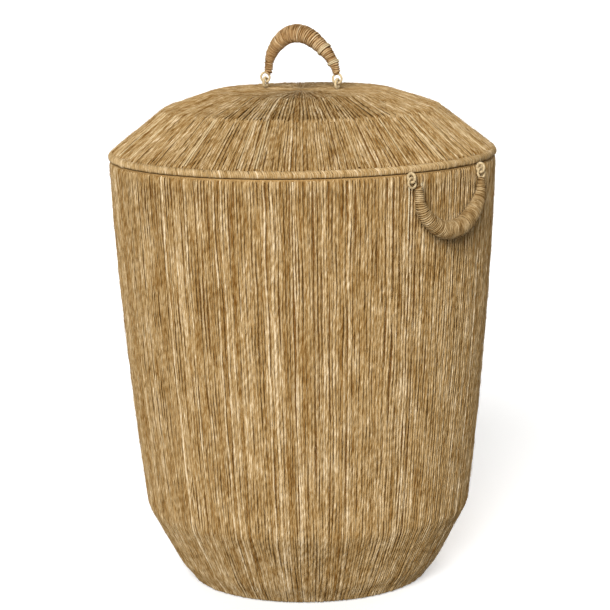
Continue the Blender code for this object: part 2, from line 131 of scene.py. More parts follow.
# Camera, fitted to the photographed outline -------------------------------------------------
CAMERA_AZIMUTH = math.radians(45.2)
CAMERA_DISTANCE = 2.69
CAMERA_HEIGHT = 0.816
CAMERA_PITCH = math.radians(10.4)
CAMERA_ROLL = math.radians(1.0)
CAMERA_LENS = 136.8

# Lights; azimuths and elevations in degrees, counted from the camera's direction -------------
KEY_AZIMUTH, KEY_ELEVATION = -11.0, 26.0
KEY_ENERGY, KEY_ANGLE = 4.1, math.radians(30.0)
FILL_AZIMUTHS = (("back_fill_right", 150.0), ("back_fill_left", -160.0))
FILL_ELEVATION = 14.0
FILL_ENERGY, FILL_ANGLE = 1.9, math.radians(50.0)
ROOM_COLOUR = (1.0, 0.95, 0.87, 1.0)
ROOM_LEFT = math.radians(7.0)        # the room is brightest this far left of the camera
ROOM_GAIN, ROOM_RISE, ROOM_POWER, ROOM_LEAST = 1.04, 0.12, 4.0, 0.03
FLOOR_ALBEDO, FLOOR_GLOW = 0.92, 0.32


# Materials ----------------------------------------------------------------------------------
def add_node(tree, kind, inputs=None, **settings):
    node = tree.nodes.new(kind)
    for name, value in settings.items():
        setattr(node, name, value)
    for name, value in (inputs or {}).items():
        if isinstance(value, bpy.types.NodeSocket):
            tree.links.new(value, node.inputs[name])
        else:
            node.inputs[name].default_value = value
    return node


def math_node(tree, operation, first, second=0.0):
    node = add_node(tree, "ShaderNodeMath", {0: first, 1: second}, operation=operation)
    return node.outputs[0]


def noise_node(tree, vector, scale, detail=2.0, roughness=0.5):
    values = {"Vector": vector, "Scale": scale, "Detail": detail, "Roughness": roughness}
    return add_node(tree, "ShaderNodeTexNoise", values).outputs["Fac"]


def colour_and_bump(tree, shader, shade, stops, height, strength, distance):
    """Colour a shader through a ramp with stops of (position, colour), and bump it by a height."""
    ramp = add_node(tree, "ShaderNodeValToRGB", {"Fac": shade})
    elements = ramp.color_ramp.elements
    while len(elements) < len(stops):
        elements.new(0.5)
    for element, (position, colour) in zip(elements, stops):
        element.position = position
        element.color = (*colour, 1.0)
    tree.links.new(ramp.outputs["Color"], shader.inputs["Base Color"])
    bumps = add_node(tree, "ShaderNodeBump", {"Height": height, "Strength": strength, "Distance": distance})
    tree.links.new(bumps.outputs[0], shader.inputs["Normal"])


def new_material(name, roughness, metallic=0.0, specular=0.5):
    material = bpy.data.materials.new(name)
    material.use_nodes = True
    shader = material.node_tree.nodes["Principled BSDF"]
    shader.inputs["Roughness"].default_value = roughness
    shader.inputs["Metallic"].default_value = metallic
    shader.inputs["Specular IOR Level"].default_value = specular
    return material, material.node_tree, shader


def yarn_material(name, colours, contrast=1.0, twist=YARN_PITCH, bump=0.8):
    """Twisted natural fibre. Each strand has its own tone, and mottling and fibres along its length; its
    twist is painted as a highlight on each ply and shade between them.

    `colours` runs from the deep shade of a dark strand to the bleached shade of a pale one.
    """
    material, tree, shader = new_material(name, 0.85, specular=YARN_GLOSS)
    uv = add_node(tree, "ShaderNodeUVMap", uv_map="yarn").outputs[0]
    split = add_node(tree, "ShaderNodeSeparateXYZ", {0: uv})
    round_yarn, along = split.outputs[0], split.outputs[1]
    tone = add_node(tree, "ShaderNodeAttribute", attribute_name="tone").outputs["Fac"]
    strand = math_node(tree, "MULTIPLY", tone, STRAND_SHIFT)
    turn = math_node(tree, "ADD", math_node(tree, "MULTIPLY", round_yarn, float(YARN_PLIES)),
                     math_node(tree, "DIVIDE", along, twist / YARN_PLIES))
    turn = math_node(tree, "ADD", turn, strand)
    # The twist's sine colours the yarn as painted highlight and painted shade, and also bumps its surface.
    ply = math_node(tree, "SINE", math_node(tree, "MULTIPLY", turn, TAU))

    def strand_noise(across, across_scale, per_metre, detail):
        place = add_node(tree, "ShaderNodeCombineXYZ", {
            0: math_node(tree, "MULTIPLY", across, across_scale),
            1: math_node(tree, "MULTIPLY", along, per_metre), 2: strand}).outputs[0]
        return noise_node(tree, place, 1.0, detail, 0.74)

    mottle = strand_noise(round_yarn, 0.5, 30.0, 2.0)
    slow_turn = math_node(tree, "ADD", round_yarn, math_node(tree, "MULTIPLY", along, FIBRE_SLANT))
    fibre = strand_noise(slow_turn, 6.5, 95.0, 5.0)
    place = add_node(tree, "ShaderNodeTexCoord").outputs["Object"]
    stretch = add_node(tree, "ShaderNodeVectorMath", {0: place, 1: PATCH_SCALE}, operation="MULTIPLY")
    patch = noise_node(tree, stretch.outputs[0], 1.0, 3.0, 0.6)
    shade = tone
    for value, middle, weight in ((mottle, 0.5, MOTTLE_WEIGHT), (fibre, 0.5, FIBRE_WEIGHT),
                                  (patch, 0.5, PATCH_WEIGHT), (ply, 0.0, PLY_SHADE_WEIGHT)):
        offset = math_node(tree, "SUBTRACT", value, middle)
        shade = math_node(tree, "ADD", shade, math_node(tree, "MULTIPLY", offset, weight * contrast))
    stops = [(number / (len(colours) - 1), colour) for number, colour in enumerate(colours)]
    relief = math_node(tree, "ADD", math_node(tree, "MULTIPLY", ply, 0.12), fibre)
    colour_and_bump(tree, shader, shade, stops, relief, bump, 0.0009)
    return material


def backing_material(name, dark, pale):
    """A layer of yarn that shows only through the gaps between strands, in the two colours it is given; the
    backing's dark colours are painted shade.
    """
    material, tree, shader = new_material(name, 0.95, specular=0.1)
    place = add_node(tree, "ShaderNodeTexCoord").outputs["Object"]
    grain = noise_node(tree, place, 420.0, 3.0)
    patch = noise_node(tree, place, 30.0, 2.0)
    mix = math_node(tree, "ADD", math_node(tree, "MULTIPLY", grain, 0.7),
                    math_node(tree, "MULTIPLY", patch, 0.3))
    colour_and_bump(tree, shader, mix, [(0.3, dark), (0.7, pale)], grain, 0.6, 0.0006)
    return material


def wire_material():
    """Black lacquered steel wire, with a little rust and rubbed metal."""
    material, tree, shader = new_material("lacquered_wire", 0.38, metallic=0.6)
    place = add_node(tree, "ShaderNodeTexCoord").outputs["Object"]
    wear = noise_node(tree, place, 90.0, 4.0, 0.65)
    stops = [(0.52, (0.018, 0.017, 0.016)), (0.72, (0.16, 0.07, 0.03))]
    colour_and_bump(tree, shader, wear, stops, wear, 0.25, 0.0003)
    return material


JUTE = [(0.145, 0.060, 0.009), (0.245, 0.132, 0.036), (0.375, 0.241, 0.098), (0.520, 0.372, 0.196),
        (0.740, 0.590, 0.385)]
# The lid handle's yarn is paler than the side handles' yarn: a painted highlight for the light on the top of
# the lid.
LID_HANDLE_JUTE_LIT = [(0.120, 0.052, 0.012), (0.255, 0.135, 0.046), (0.420, 0.262, 0.118),
                   (0.570, 0.405, 0.222), (0.760, 0.610, 0.415)]
SIDE_HANDLE_JUTE = [(0.120, 0.055, 0.012), (0.215, 0.124, 0.042), (0.335, 0.222, 0.100),
                    (0.475, 0.345, 0.185), (0.670, 0.540, 0.350)]
PALE = [(0.300, 0.190, 0.080), (0.460, 0.330, 0.170), (0.620, 0.490, 0.290), (0.760, 0.660, 0.460)]


# Yarn meshes --------------------------------------------------------------------------------
def unit(vectors):
    return vectors / np.maximum(np.linalg.norm(vectors, axis=-1, keepdims=True), 1e-12)


def turned(radius, angle, height):
    """Points at these distances from Z, angles round it and heights."""
    radius, angle, height = np.broadcast_arrays(radius, angle, height)
    return np.stack([radius * np.cos(angle), radius * np.sin(angle), height], axis=-1)


def yarn_piece(name, paths, radii, facing, tones, sides=6, closed=False, flat=1.0):
    """One object holding a closed tube along each path, its section `flat` times as high as wide.

    paths and facing are (strands, points, 3), radii is (strands, points), tones (strands,).
    `facing` is the direction away from what the yarn lies on.
    """
    strands, points, _ = paths.shape
    if closed:
        tangent = unit(np.roll(paths, -1, axis=1) - np.roll(paths, 1, axis=1))
        steps = np.linalg.norm(np.roll(paths, -1, axis=1) - paths, axis=-1)
    else:
        tangent = unit(np.gradient(paths, axis=1))
        steps = np.linalg.norm(np.diff(paths, axis=1), axis=-1)
    side = unit(np.cross(tangent, facing))
    up = np.cross(side, tangent)
    angle = TAU * np.arange(sides) / sides
    ring = np.cos(angle)[:, None] * side[:, :, None, :] + flat * np.sin(angle)[:, None] * up[:, :, None, :]
    vertices = paths[:, :, None, :] + radii[:, :, None, None] * ring
    length = np.concatenate([np.zeros((strands, 1)), np.cumsum(steps, axis=1)], axis=1)
    spans = points if closed else points - 1
    strand, place, step = np.meshgrid(np.arange(strands), np.arange(spans), np.arange(sides), indexing="ij")

    def index(at, turn):
        return (strand * points + at % points) * sides + turn % sides

    quads = np.stack([index(place, step), index(place, step + 1), index(place + 1, step + 1),
                      index(place + 1, step)], axis=-1).reshape(-1, 4)
    across = np.stack([step, step + 1, step + 1, step], axis=-1) / sides
    start = length[strand, place]
    end = length[strand, place + 1]
    uv = np.stack([across, np.stack([start, start, end, end], axis=-1)], axis=-1).reshape(-1, 2)
    corners = quads.ravel()
    totals = np.full(len(quads), 4)
    if not closed:
        first = (np.arange(strands)[:, None] * points) * sides + np.arange(sides)[::-1]
        last = (np.arange(strands)[:, None] * points + points - 1) * sides + np.arange(sides)
        corners = np.concatenate([corners, first.ravel(), last.ravel()])
        totals = np.concatenate([totals, np.full(2 * strands, sides)])
        cap = np.stack([np.tile(np.arange(sides) / sides, strands), np.zeros(strands * sides)], axis=-1)
        uv = np.concatenate([uv, cap, cap + [[0.0, 1.0]] * length[:, -1:].repeat(sides, 1).reshape(-1, 1)])
    mesh = bpy.data.meshes.new(name)
    mesh.vertices.add(strands * points * sides)
    mesh.vertices.foreach_set("co", vertices.astype(np.float32).ravel())
    mesh.loops.add(len(corners))
    mesh.loops.foreach_set("vertex_index", corners.astype(np.int32))
    mesh.polygons.add(len(totals))
    starts = np.concatenate([[0], np.cumsum(totals)[:-1]])
    mesh.polygons.foreach_set("loop_start", starts.astype(np.int32))
    mesh.polygons.foreach_set("loop_total", totals.astype(np.int32))
    mesh.update(calc_edges=True)
    mesh.polygons.foreach_set("use_smooth", np.ones(len(totals), dtype=bool))
    layer = mesh.uv_layers.new(name="yarn")
    layer.data.foreach_set("uv", uv.astype(np.float32).ravel())
    attribute = mesh.attributes.new("tone", "FLOAT", "POINT")
    attribute.data.foreach_set("value", np.repeat(tones, points * sides).astype(np.float32))
    piece = bpy.data.objects.new(name, mesh)
    bpy.context.scene.collection.objects.link(piece)
    return piece


def finish_piece(piece, material, body, slot, *replaced):
    piece.data.materials.append(material)
    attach(piece, body)
    if replaced:
        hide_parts(*replaced)
    return piece


def yarn_ring(name, yarn, material, body, slot, replaced=(), sectors=SECTORS, sides=6, closed=False,
              flat=1.0):
    """A ring of strands, split into pieces of neighbouring strands."""
    paths, radii, facing, tones = yarn
    for number, part in enumerate(np.array_split(np.arange(len(paths)), sectors)):
        piece = yarn_piece(f"{name}_{number + 1}", paths[part], radii[part], facing[part], tones[part],
                           sides, closed, flat)
        finish_piece(piece, material, body, slot, *replaced)


def strand_tones(rng, count, middle=0.50, spread=0.07, pale=0.05, dark=0.05):
    """Each strand's own shade, with a few much paler and much darker ones."""
    tones = rng.normal(middle, spread, count)
    pick = rng.random(count)
    tones = np.where(pick < pale, middle + rng.uniform(0.14, 0.30, count), tones)
    tones = np.where(pick > 1 - dark, middle - rng.uniform(0.12, 0.25, count), tones)
    return np.clip(tones, 0.05, 0.95)


def wobble(rng, count, along, size, shortest, longest, waves=3):
    """A smooth random offset for each strand along its length."""
    total = np.zeros((count, len(along)))
    for _ in range(waves):
        length = rng.uniform(shortest, longest, (count, 1))
        total += np.sin(TAU * (along[None, :] / length + rng.random((count, 1))))
    return size * total / math.sqrt(waves)


def drift(rng, across, along, size, shortest, longest, waves=7):
    """A smooth random offset that neighbouring strands share."""
    total = np.zeros(np.broadcast(across, along).shape)
    for _ in range(waves):
        turns = rng.integers(6, 70)
        total += np.sin(turns * across + TAU * (along / rng.uniform(shortest, longest) + rng.random()))
    return size * total / math.sqrt(waves)


# Profiles -----------------------------------------------------------------------------------
def wall_radius(height):
    height = np.asarray(height, dtype=float)
    share = np.clip((height - SHOULDER_HEIGHT) / (BODY_HEIGHT - SHOULDER_HEIGHT), 0.0, 1.0)
    wall = SHOULDER_RADIUS + (TOP_RADIUS - SHOULDER_RADIUS) * share + 4 * WALL_BOW * share * (1 - share)
    low = np.interp(height, [0.0, FOOT_HEIGHT, SHOULDER_HEIGHT],
                    [BASE_RADIUS, FOOT_RADIUS, SHOULDER_RADIUS])
    return np.where(height > SHOULDER_HEIGHT, wall, low)


def wall_line(depth, low, high, count=60):
    """(radius, height) up the wall, `depth` below its outer surface."""
    height = np.linspace(low, high, count)
    slope = (wall_radius(height + 0.002) - wall_radius(np.maximum(height - 0.002, 0.0))) / (
        0.002 + np.minimum(height, 0.002))
    length = np.hypot(1.0, slope)
    return np.stack([wall_radius(height) - depth / length, height + depth * slope / length], axis=-1)


def arc(centre, radius, first, last, count=9, squareness=1.0):
    """Part of a round section; squareness above 1 fills out its corners."""
    angle = np.radians(np.linspace(first, last, count))
    across, rise = np.cos(angle), np.sin(angle)
    across = np.sign(across) * np.abs(across) ** (1 / squareness)
    rise = np.sign(rise) * np.abs(rise) ** (1 / squareness)
    return np.stack([centre[0] + radius * across, centre[1] + radius * rise], axis=-1)


def shrink(outline, depth):
    """The outline moved `depth` below itself, square to its own direction."""
    outline = np.asarray(outline, dtype=float)
    tangent = unit(np.gradient(outline, axis=0))
    normal = np.stack([tangent[:, 1], -tangent[:, 0]], axis=-1)
    return outline - depth * normal


def resample(line, count, smooth=0.0):
    """Evenly spaced points along a (radius, height) line, its corners rounded over `smooth`."""
    line = np.asarray(line, dtype=float)
    steps = np.linalg.norm(np.diff(line, axis=0), axis=1)
    keep = np.concatenate([[True], steps > 1e-7])
    line = line[keep]
    place = np.concatenate([[0.0], np.cumsum(np.linalg.norm(np.diff(line, axis=0), axis=1))])
    at = np.linspace(0.0, place[-1], count)
    if smooth == 0.0:
        return np.stack([np.interp(at, place, line[:, axis]) for axis in (0, 1)], axis=-1), at
    offsets = np.linspace(-1.0, 1.0, 7) * smooth
    points = np.zeros((count, 2))
    for offset in offsets:
        spot = np.clip(at + offset, 0.0, place[-1])
        points += np.stack([np.interp(spot, place, line[:, axis]) for axis in (0, 1)], axis=-1)
    return points / len(offsets), at


def lay_strands(rng, line, count, lateral, lift, start=0.0):
    """Strands side by side round Z, following a (radius, height) line.

    The line runs so that its left side faces away from what the yarn lies on.
    lateral and lift are (count, points) offsets in metres, sideways and off the surface.
    """
    tangent = unit(np.gradient(line, axis=0))
    outward, upward = tangent[:, 1], -tangent[:, 0]
    angle = start + TAU * (np.arange(count)[:, None] + rng.uniform(-0.22, 0.22, (count, 1))) / count
    angle = angle + lateral / np.maximum(line[:, 0], 0.01)
    paths = turned(line[:, 0] + lift * outward, angle, line[:, 1] + lift * upward)
    return paths, turned(outward, angle, upward)


def shell(name, outline, segments=192):
    """A closed turned solid from an outline of (radius, height) that closes on itself."""
    outline = np.asarray(outline, dtype=float)
    angle = TAU * np.arange(segments) / segments
    points = turned(outline[:, 0], angle[:, None], outline[:, 1])
    count = len(outline)
    spoke, place = np.meshgrid(np.arange(segments), np.arange(count), indexing="ij")
    after = (spoke + 1) % segments
    follow = (place + 1) % count
    faces = np.stack([spoke * count + place, after * count + place, after * count + follow,
                      spoke * count + follow], axis=-1).reshape(-1, 4)
    mesh = bpy.data.meshes.new(name)
    mesh.from_pydata(points.reshape(-1, 3).tolist(), [], faces.tolist())
    mesh.update()
    mesh.shade_smooth()
    piece = bpy.data.objects.new(name, mesh)
    bpy.context.scene.collection.objects.link(piece)
    return piece


def layer_outline(line, thickness):
    """A closed outline for a thin layer under a (radius, height) line."""
    return np.concatenate([line, shrink(line, thickness)[::-1]])


# The basket ---------------------------------------------------------------------------------
def wall_outside(depth):
    """From under the base, up the wall and over the rim to its inner side."""
    hem = np.array([[BASE_RADIUS - 0.0075, depth], [BASE_RADIUS + 0.0012, depth]])
    return np.concatenate([hem, wall_line(depth, 0.004, BODY_HEIGHT - RIM_WIND - 0.003, 90),
                           arc(RIM_CENTRE, RIM_WIND - depth, 0, 90, 7, 2.6),
                           arc(RIM_CENTRE, RIM_WIND - depth, 105, 180, 6)])


def wall_inside(depth):
    """From the rim's inner side down to the floor."""
    down = wall_line(INNER_DEPTH + LAYER - depth, 0.007, 0.482, 60)[::-1]
    return np.concatenate([arc(RIM_CENTRE, RIM_WIND - depth, 168, 180, 3), down])


def make_wall(materials):
    rng = np.random.default_rng(11)
    count = WALL_STRANDS
    angle = TAU * np.arange(count)[:, None] / count
    for layer, (depth, half, tone) in enumerate(WALL_LAYERS):
        line, along = resample(wall_outside(depth), 160, 0.0022)
        lateral = drift(rng, angle, along[None, :], 0.00048, 0.10, 0.45)
        lateral += wobble(rng, count, along, 0.00046, 0.07, 0.24)
        lateral += wobble(rng, count, along, 0.00011, 0.014, 0.04)
        lift = wobble(rng, count, along, 0.00028, 0.02, 0.10)
        lift += drift(rng, angle, along[None, :], 0.00020, 0.08, 0.4)
        rim = np.clip((line[:, 1] - 0.470) / 0.016, 0.0, 1.0)
        open_band = np.exp(-((line[:, 1] - 0.478) / 0.011) ** 2) * (line[:, 0] > 0.2205)
        lift *= 1 - 0.7 * rim
        lift += layer * (0.0007 * (rim - open_band).clip(0, 1) - 0.0009 * open_band)
        paths, facing = lay_strands(rng, line, count, lateral, lift, TAU * half / count)
        size = rng.normal(0.97, 0.12, (count, 1)).clip(0.68, 1.25)
        radii = YARN_RADIUS * size * (1 + wobble(rng, count, along, 0.08, 0.010, 0.04))
        radii = radii * (1 - 0.12 * open_band)
        paths[..., 2] = np.maximum(paths[..., 2], radii)
        yarn_ring(f"wall_yarn_{layer + 1}", (paths, radii, facing, strand_tones(rng, count, tone)),
                  materials["jute"], "basket", "wound_jute", ["wall_weave_outer"], flat=YARN_FLAT)
    line, _ = resample(layer_outline(wall_outside(0.0024), 0.0004), 260)
    finish_piece(shell("wall_backing_outer", line), materials["backing"], "basket", "wound_jute")
    finish_piece(shell("wall_rim_padding", WALL_RIM_PADDING), materials["padding"], "basket", "wound_jute")
    make_wall_inner(rng, materials)


def make_wall_inner(rng, materials):
    count = INNER_STRANDS
    angle = TAU * np.arange(count)[:, None] / count
    line, along = resample(wall_inside(YARN_RADIUS), 100, 0.004)
    lateral = drift(rng, angle, along[None, :], 0.0006, 0.08, 0.4)
    lateral += wobble(rng, count, along, 0.0004, 0.04, 0.15)
    lateral *= np.clip(along / 0.03, 0.0, 1.0)
    lift = wobble(rng, count, along, 0.0003, 0.03, 0.12) * np.clip(along / 0.02, 0.1, 1.0)
    paths, facing = lay_strands(rng, line, count, lateral, lift)
    radii = YARN_RADIUS * rng.normal(1.0, 0.12, (count, 1)).clip(0.7, 1.3) * np.ones((1, len(along)))
    yarn_ring("wall_yarn_inner", (paths, radii, facing, strand_tones(rng, count, 0.47)),
              materials["jute"], "basket", "inner_jute", ["wall_weave_inner"], sides=5)
    line, _ = resample(layer_outline(wall_line(INNER_DEPTH + 0.0008, 0.008, 0.486)[::-1], 0.0006), 120)
    finish_piece(shell("wall_backing_inner", line), materials["backing"], "basket", "inner_jute")


def make_base(materials):
    """The two faces of the floor, wound from the middle outwards."""
    rng = np.random.default_rng(12)
    count = BASE_STRANDS
    floor_level = BASE_INNER_LEVEL + LAYER - 0.001
    for name, node, slot, reach, level, up in (
            ("base_yarn_under", "base_weave_outer", "wound_jute", 0.1335, YARN_RADIUS, False),
            ("base_yarn_floor", "base_weave_inner", "inner_jute", 0.1325, floor_level, True)):
        ends = [(0.006, level), (reach, level)]
        line, along = resample(ends[::-1] if up else ends, 26)
        spacing = TAU * line[:, 0] / count
        lateral = wobble(rng, count, along, 0.0005, 0.05, 0.15) * np.clip(line[:, 0] / 0.1, 0, 1)
        lift = wobble(rng, count, along, 0.00015, 0.03, 0.12)
        if not up:
            lift = -np.abs(lift)
        paths, facing = lay_strands(rng, line, count, lateral, lift)
        size = rng.normal(1.0, 0.1, (count, 1)).clip(0.7, 1.2)
        radii = np.clip(0.56 * spacing, THINNEST_YARN, YARN_RADIUS) * size
        yarn_ring(name, (paths, radii, facing, strand_tones(rng, count, 0.47)), materials["jute"],
                  "basket", slot, [node], sectors=2, sides=5)
        top = level + (-0.0004 if up else 0.0012)
        middle, edge = 0.0008, reach - 0.002
        outline = [(middle, top - 0.0008), (edge, top - 0.0008), (edge, top), (middle, top)]
        finish_piece(shell(f"{name}_backing", outline, 96), materials["backing"], "basket", slot)


# The lid ------------------------------------------------------------------------------------
def lid_tangent():
    dr = LID_RIM_CENTRE[0] - LID_OUTLINE[3][0]
    dz = LID_RIM_CENTRE[1] - LID_OUTLINE[3][1]
    angle = math.atan2(dz, dr) + math.asin(LID_WIND / math.hypot(dr, dz))
    return (LID_RIM_CENTRE[0] - LID_WIND * math.sin(angle), LID_RIM_CENTRE[1] + LID_WIND * math.cos(angle))


def lid_line(depth, inner, outer):
    """The lid's top from radius `outer` in to radius `inner`, `depth` below the surface."""
    corners = np.array(LID_OUTLINE + [lid_tangent()])
    radius = np.linspace(outer, inner, 90)
    line = np.stack([radius, np.interp(radius, corners[:, 0], corners[:, 1])], axis=-1)
    return shrink(line, depth)


def place_on_lid(paths, facing):
    """From the lid's own frame to the world."""
    turn = np.array(Matrix.Rotation(LID_TURN, 3, "Z"))
    return paths @ turn.T + np.array([0.0, 0.0, LID_SEAT]), facing @ turn.T


def make_lid_top(materials):
    rng = np.random.default_rng(21)
    for name, count, inner, outer, depth, half, tone, width in LID_LAYERS:
        line, along = resample(lid_line(depth, inner, outer), int((outer - inner) / 0.0025) + 8, 0.003)
        angle = TAU * np.arange(count)[:, None] / count
        spacing = TAU * line[:, 0] / count
        lateral = drift(rng, angle, along[None, :], 0.0003, 0.04, 0.2)
        lateral += wobble(rng, count, along, 0.00032, 0.03, 0.10)
        lateral *= np.clip(line[:, 0] / 0.12, 0.05, 1.0)
        lift = wobble(rng, count, along, 0.00022, 0.02, 0.09)
        lift += np.where(np.arange(count) % 2 == 0, 1.0, -1.0)[:, None] * 0.00015
        tuck = 1 - np.clip(along / 0.005, 0.0, 1.0)
        lift -= 0.0007 * tuck
        paths, facing = lay_strands(rng, line, count, lateral, lift, TAU * half / count)
        size = rng.normal(0.96, 0.12, (count, 1)).clip(0.65, 1.25)
        radii = np.clip(width * spacing, THINNEST_YARN, YARN_RADIUS * 0.98) * size
        radii = radii * (1 + wobble(rng, count, along, 0.08, 0.010, 0.04)) * (1 - 0.4 * tuck)
        paths, facing = place_on_lid(paths, facing)
        yarn_ring(name, (paths, radii, facing, strand_tones(rng, count, tone)), materials["jute"], "lid",
                  "wound_jute", ["lid_weave_top"], flat=LID_FLAT)
    line, _ = resample(layer_outline(lid_line(0.0027, 0.0008, 0.2205), 0.0004), 200)
    line = line + [0.0, LID_SEAT]
    line[:, 0] = np.maximum(line[:, 0], 0.0004)
    finish_piece(shell("lid_backing_top", line), materials["backing"], "lid", "wound_jute")
    fill = [(radius, height + LID_SEAT) for radius, height in LID_RIM_PADDING]
    finish_piece(shell("lid_rim_padding", fill), materials["padding"], "lid", "wound_jute")


def bulge(wave, power):
    """A wave from -1 to 1 filled out by a power under 1."""
    return np.sign(wave) * np.abs(wave) ** power


def make_lid_bands(materials):
    """Yarn wrapped turn beside turn, round the rim ring and round the band that locates the lid."""
    rng = np.random.default_rng(22)
    count, points = BAND_TURNS, 16
    around = TAU * np.arange(points) / points
    out, up = np.cos(around), np.sin(around)
    seat_corner = np.where((out > 0) & (up < 0), 0.4, 1.0)
    reach = LID_WIND - 0.0015
    for name, node, slot, centre, across, rise in (
            ("lid_band_yarn", "lid_weave_top", "wound_jute", LID_RIM_CENTRE,
             bulge(out, seat_corner) * reach, bulge(up, seat_corner) * reach),
            ("lid_locating_yarn", "lid_locating_band", "inner_jute", LOCATING_CENTRE,
             bulge(out, 0.5) * 0.0012, bulge(up, 0.6) * 0.0052)):
        slant = 0.0020 * np.cos(around + 0.6)
        size = rng.normal(1.0, 0.06, (count, 1))
        angle = TAU * (np.arange(count)[:, None] + rng.uniform(-0.2, 0.2, (count, 1))) / count
        angle = angle + slant / centre[0]
        paths = turned(centre[0] + across * size, angle, centre[1] + rise * size)
        facing = turned(out, angle, up)
        radii = 0.00130 * rng.normal(1.0, 0.12, (count, 1)).clip(0.7, 1.3) * np.ones((1, points))
        paths, facing = place_on_lid(paths, facing)
        # Both bands take a mean tone of 0.64, paler than the wall: partly the yarn's own paler colour,
        # partly a painted highlight for the light on the top of the basket.
        yarn_ring(name, (paths, radii, facing, strand_tones(rng, count, 0.64, 0.05, 0.03, 0.02)),
                  materials["band"], "lid", slot, [node], sectors=4, sides=5, closed=True)


def make_lid_under(materials):
    rng = np.random.default_rng(23)
    count = LID_UNDER_STRANDS
    depth = LID_UNDER_DEPTH + 0.0012
    line, along = resample(lid_line(depth, 0.006, 0.2150)[::-1], 40, 0.003)
    spacing = TAU * line[:, 0] / count
    lateral = wobble(rng, count, along, 0.0004, 0.04, 0.15) * np.clip(line[:, 0] / 0.12, 0.05, 1.0)
    lift = wobble(rng, count, along, 0.0003, 0.03, 0.1)
    paths, facing = lay_strands(rng, line, count, lateral, lift)
    size = rng.normal(1.0, 0.12, (count, 1)).clip(0.7, 1.25)
    radii = np.clip(0.58 * spacing, THINNEST_YARN, 0.0016) * size
    paths, facing = place_on_lid(paths, facing)
    yarn_ring("lid_yarn_under", (paths, radii, facing, strand_tones(rng, count, 0.44)), materials["jute"],
              "lid", "inner_jute", ["lid_weave_under"], sectors=4, sides=5)
    line, _ = resample(layer_outline(lid_line(LID_UNDER_DEPTH - 0.0002, 0.0008, 0.2140), 0.0006), 160)
    line = line + [0.0, LID_SEAT]
    line[:, 0] = np.maximum(line[:, 0], 0.0004)
    finish_piece(shell("lid_backing_under", line), materials["backing"], "lid", "inner_jute")


def make_rib_strips(materials):
    """Pale yarn laid along each lid rib, from the mid ring down to the rim."""
    rng = np.random.default_rng(24)
    line, along = resample(lid_line(0.0007, 0.1600, 0.2205), 30, 0.003)
    strands = 4
    paths, facing = [], []
    for rib in range(RIB_COUNT):
        middle = RIB_PHASE + TAU * rib / RIB_COUNT + rng.normal(0.0, 0.022)
        for strand in range(strands):
            spread = (strand - (strands - 1) / 2) * np.interp(along, [0.0, along[-1]], [0.0014, 0.0007])
            lateral = (spread + wobble(rng, 1, along, 0.0002, 0.04, 0.1)[0])[None, :]
            laid, face = lay_strands(rng, line, 1, lateral, np.full((1, len(along)), 0.0002))
            turn = np.array(Matrix.Rotation(middle, 3, "Z"))
            paths.append((laid @ turn.T)[0])
            facing.append((face @ turn.T)[0])
    count = len(paths)
    paths, facing = place_on_lid(np.array(paths), np.array(facing))
    radii = 0.00085 * rng.normal(1.0, 0.1, (count, 1)) * np.ones((1, len(along)))
    piece = yarn_piece("lid_rib_yarn", paths, radii, facing, rng.normal(0.45, 0.08, count))
    finish_piece(piece, materials["smooth"], "lid", "wound_jute")


# Handles, loops and ties --------------------------------------------------------------------
def smooth_line(points, count):
    """Catmull-Rom curve through flat points, as (count, 2)."""
    points = np.asarray(points, dtype=float)
    guides = np.concatenate([[2 * points[0] - points[1]], points, [2 * points[-1] - points[-2]]])
    place = np.linspace(0.0, len(points) - 1, count)
    span = np.minimum(place.astype(int), len(points) - 2)
    t = (place - span)[:, None]
    a, b, c, d = (guides[span + offset] for offset in range(4))
    curve = 2 * b + (c - a) * t + (2 * a - 5 * b + 4 * c - d) * t ** 2
    return 0.5 * (curve + (3 * b - a - 3 * c + d) * t ** 3)


def handle_radius(share):
    return HANDLE_END + (HANDLE_MIDDLE - HANDLE_END) * np.sin(math.pi * np.clip(share, 0.0, 1.0)) ** 1.6


def handle_frame(name):
    """The matrix from a handle's own frame (X along its hinge, Z up) to the world."""
    if name == "lid_handle":
        return Matrix.Translation(LID_AXIS) @ Matrix.Rotation(LID_TURN, 4, "Z")
    turn = 0.0 if name == "side_handle_right" else math.pi
    return (Matrix.Rotation(turn, 4, "Z") @ Matrix.Translation(SIDE_AXIS)
            @ Matrix.Rotation(math.pi / 2, 4, "Z") @ Matrix.Rotation(-SIDE_REST_TILT, 4, "X"))


def to_world(frame_matrix, paths, facing):
    turn = np.array(frame_matrix.to_3x3())
    return paths @ turn.T + np.array(frame_matrix.translation), facing @ turn.T


def upright(flat):
    """Points (x, z) of a handle's flat as (x, 0, z)."""
    return np.stack([flat[:, 0], np.zeros(len(flat)), flat[:, 1]], axis=-1)


def wound_facing(outward, angle):
    """Directions round a handle, from `outward` in its flat towards its +Y side."""
    out = np.cos(angle)
    return np.stack([outward[..., 0] * out, np.sin(angle), outward[..., 1] * out], axis=-1)


def handle_spine(line, count):
    """The handle's centre line run on to its cord eyes, and the wrap's radius along it."""
    body = smooth_line(line, count)
    reach = 0.0032
    share = np.linspace(0.0, 1.0, count)
    first, last = body[0] - body[1], body[-1] - body[-2]
    first = body[0] + reach * (first / np.linalg.norm(first) * 0.8 + [-0.5, 0.0])
    last = body[-1] + reach * (last / np.linalg.norm(last) * 0.8 + [0.2, 0.0])
    ends = np.linspace(0.0, 1.0, 9)[:-1, None]
    spine = np.concatenate([first + (body[0] - first) * ends, body,
                            (last + (body[-1] - last) * ends)[::-1]])
    taper = WRAP_END + (HANDLE_END - WRAP_END) * np.sin(np.pi / 2 * ends[:, 0])
    return spine, np.concatenate([taper, handle_radius(share), taper[::-1]])


